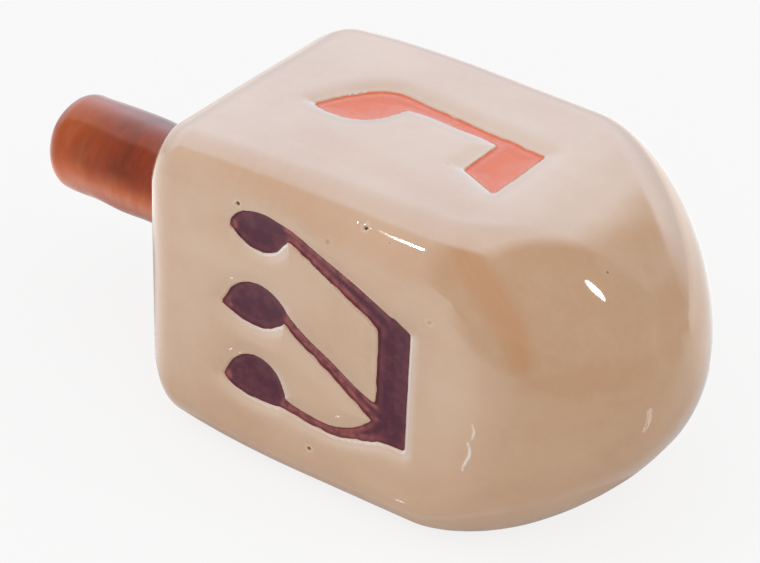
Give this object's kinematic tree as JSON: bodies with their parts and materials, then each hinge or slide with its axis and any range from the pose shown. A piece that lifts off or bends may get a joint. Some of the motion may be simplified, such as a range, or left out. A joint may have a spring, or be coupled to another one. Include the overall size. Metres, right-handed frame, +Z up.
{
  "type": "dreidel",
  "caption": "Large glazed earthenware spinning top: square body with soft edges, domed nose and a cylindrical peg handle, lying on one of its faces.",
  "frame": {"origin": "on the surface the body lies on, under the middle of the whole length", "axes": "+X along the spin axis from the handle to the nose, +Z up out of the upper face, +Y towards the back face"},
  "size_m": [0.1428, 0.064, 0.064],
  "materials": {
    "clear_glazed_bisque": "pale tan earthenware under a clear glossy glaze, with soft brushed variation",
    "joint_cement": "pale matt slip wiped smooth",
    "amber_glaze": "amber brown glossy glaze with darker streaks across the peg",
    "coral_glaze": "coral orange glaze in the recessed game marks of two faces",
    "plum_glaze": "plum purple glaze in the recessed game marks of the other two faces"
  },
  "bodies": {
    "root": {"body": "clear_glazed_bisque", "joint_bed": "joint_cement", "handle": "amber_glaze"}
  },
  "joints": []
}
